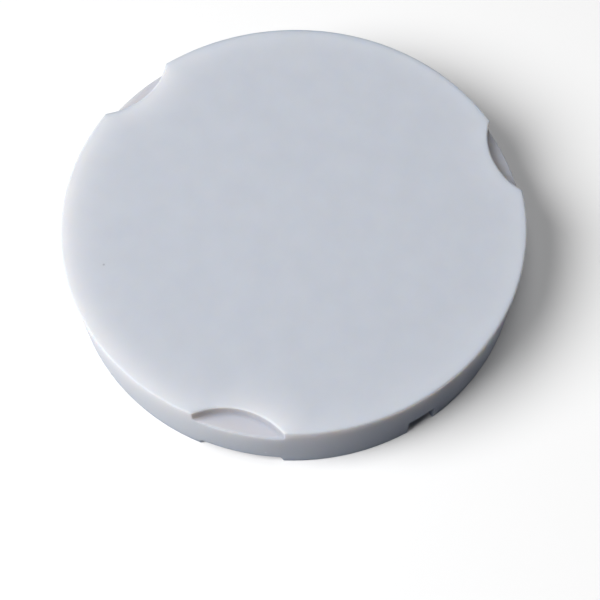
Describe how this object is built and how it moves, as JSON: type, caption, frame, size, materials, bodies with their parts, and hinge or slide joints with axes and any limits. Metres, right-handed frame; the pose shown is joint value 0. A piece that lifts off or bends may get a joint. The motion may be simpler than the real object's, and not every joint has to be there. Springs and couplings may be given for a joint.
{
  "type": "dental milling disc",
  "caption": "Round dental milling blank with half-moon clamping pockets in both faces of its rim and a locating slot",
  "frame": {"origin": "middle of the underside", "axes": "+Z along the disc's axis, up out of the face with the deeper pockets; one pair of pockets faces -Y"},
  "size_m": [0.095, 0.095, 0.016],
  "materials": {
    "disc_resin": "satin, slightly translucent, milled all over"
  },
  "bodies": {
    "root": {"milling_disc": "disc_resin"}
  },
  "joints": []
}
